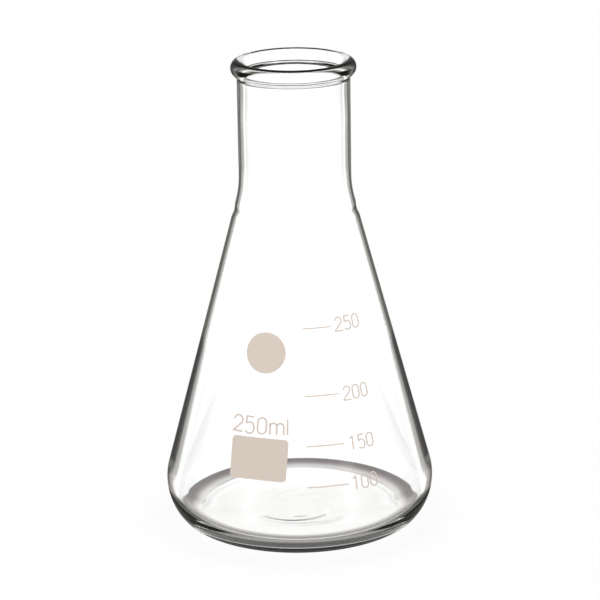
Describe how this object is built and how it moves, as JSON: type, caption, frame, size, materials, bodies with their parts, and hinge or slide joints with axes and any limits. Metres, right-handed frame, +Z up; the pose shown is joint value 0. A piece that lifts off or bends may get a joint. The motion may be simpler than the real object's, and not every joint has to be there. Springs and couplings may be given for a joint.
{
  "type": "erlenmeyer flask",
  "caption": "Conical glass flask with a flat base, narrow neck and beaded lip, for mixing, heating and storing liquids, with printed level marks.",
  "frame": {"origin": "centre of the base, on the plane that the flask stands on", "axes": "+Z up along the flask's axis; -Y is the front, which the markings face; +X to the right of that front"},
  "size_m": [0.085, 0.085, 0.1487],
  "materials": {
    "clear_glass": "clear borosilicate glass, smooth and fire-polished, faintly grey-green in the thick places",
    "white_enamel": "thin off-white fired enamel print, satin"
  },
  "bodies": {
    "root": {"flask_body": "clear_glass", "marking_panel": "white_enamel", "marking_spot": "white_enamel", "graduation_line_100": "white_enamel", "graduation_line_150": "white_enamel", "graduation_line_200": "white_enamel", "graduation_line_250": "white_enamel"}
  },
  "joints": []
}
